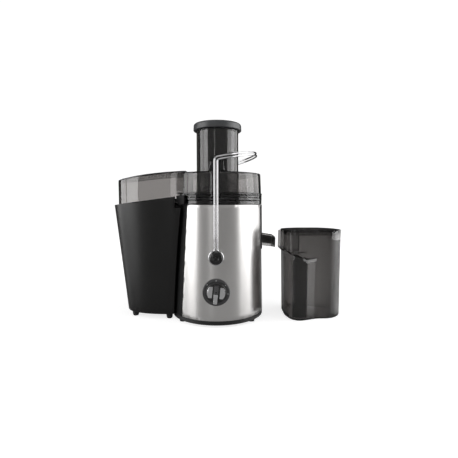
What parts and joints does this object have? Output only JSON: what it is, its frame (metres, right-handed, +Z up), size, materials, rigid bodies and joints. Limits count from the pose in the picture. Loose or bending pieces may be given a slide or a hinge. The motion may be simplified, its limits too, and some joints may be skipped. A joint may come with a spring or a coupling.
{
  "type": "centrifugal juicer",
  "caption": "Centrifugal juicer: steel motor body, smoked lid with feed tube and pusher, wire locking arm, side pulp bin and covered juice jug.",
  "frame": {"origin": "on the counter, under the middle of the whole set; the motor spindle stands 22 mm to the left of it", "axes": "+Z up, front with the speed knob towards -Y, spout and jug towards +X, pulp bin towards -X"},
  "size_m": [0.4491, 0.1994, 0.3764],
  "materials": {
    "brushed_steel": "fine vertical brushing, satin",
    "black_plastic": "satin moulded",
    "satin_black": "satin, fine texture",
    "gloss_black": "gloss",
    "dial_grey": "satin",
    "cap_grey": "satin",
    "dark_plastic": "moulded",
    "smoke_clear": "smoked transparent plastic, polished",
    "smoke_dark": "dark smoked transparent plastic, polished",
    "chrome": "polished",
    "screw_steel": "zinc plated",
    "bracket_metal": "die-cast",
    "laminations": "stacked sheet",
    "copper": "enamelled winding",
    "bronze": "sintered",
    "carbon": "pressed carbon",
    "board": "circuit board",
    "sieve_steel": "etched",
    "rubber": "moulded"
  },
  "bodies": {
    "juicer": {"steel_shell": "brushed_steel", "motor_housing": "black_plastic", "spout_trim": "black_plastic", "base_plate": "black_plastic", "rubber_feet": "rubber", "base_screws": "screw_steel", "dial_plate": "dial_grey", "rotary_switch": "dark_plastic", "safety_switch": "dark_plastic", "control_board": "board", "pivot_pins": "screw_steel", "cord_gland": "rubber", "cord_clamp": "dark_plastic", "motor_stator": "laminations", "field_coils": "copper", "upper_bracket": "bracket_metal", "lower_bracket": "bracket_metal", "upper_bearing": "bronze", "lower_bearing": "bronze", "brush_holders": "dark_plastic", "carbon_brushes": "carbon", "motor_mounts": "rubber", "motor_screws": "screw_steel", "shaft_seal": "rubber", "juice_collector": "smoke_dark", "juice_spout": "smoke_dark", "collector_seal": "rubber", "lid": "smoke_clear", "lid_hood": "smoke_clear", "lid_catches": "smoke_clear", "feed_tube": "smoke_dark"},
    "spinner": {"armature": "laminations", "commutator": "copper", "motor_shaft": "screw_steel", "cooling_fan": "dark_plastic", "drive_coupling": "dark_plastic", "basket_frame": "dark_plastic", "sieve": "sieve_steel", "grater_disc": "sieve_steel"},
    "knob": {"speed_knob": "gloss_black", "knob_inserts": "chrome"},
    "arm": {"locking_arm": "chrome", "arm_hubs": "gloss_black"},
    "plunger": {"pusher": "smoke_dark", "pusher_cap": "cap_grey"},
    "bin": {"pulp_bin": "satin_black", "bin_feet": "rubber"},
    "jug": {"jug": "smoke_clear"},
    "jug_cover": {"jug_lid": "smoke_clear", "froth_separator": "smoke_clear"}
  },
  "joints": [
    {"name": "spinner_turn", "type": "hinge", "parent": "juicer", "child": "spinner", "pos_m": [-0.022, 0, 0.1], "axis": [0, 0, 1], "continuous": true},
    {"name": "knob_turn", "type": "hinge", "parent": "juicer", "child": "knob", "pos_m": [-0.022, -0.09, 0.065], "axis": [0, 1, 0], "range_deg": [-49, 97]},
    {"name": "arm_swing", "type": "hinge", "parent": "juicer", "child": "arm", "pos_m": [-0.022, 0, 0.127], "axis": [0, 1, 0], "range_deg": [0, 40]},
    {"name": "pusher_lift", "type": "slide", "parent": "juicer", "child": "plunger", "axis": [0, 0, 1], "range_m": [0, 0.165]},
    {"name": "bin_slide", "type": "slide", "parent": "juicer", "child": "bin", "axis": [-1, 0, 0], "range_m": [0, 0.13]},
    {"name": "jug_slide", "type": "slide", "parent": "juicer", "child": "jug", "axis": [-1, 0, 0], "range_m": [0, 0.032]},
    {"name": "jug_lid_lift", "type": "slide", "parent": "jug", "child": "jug_cover", "axis": [0, 0, 1], "range_m": [0, 0.035]}
  ]
}
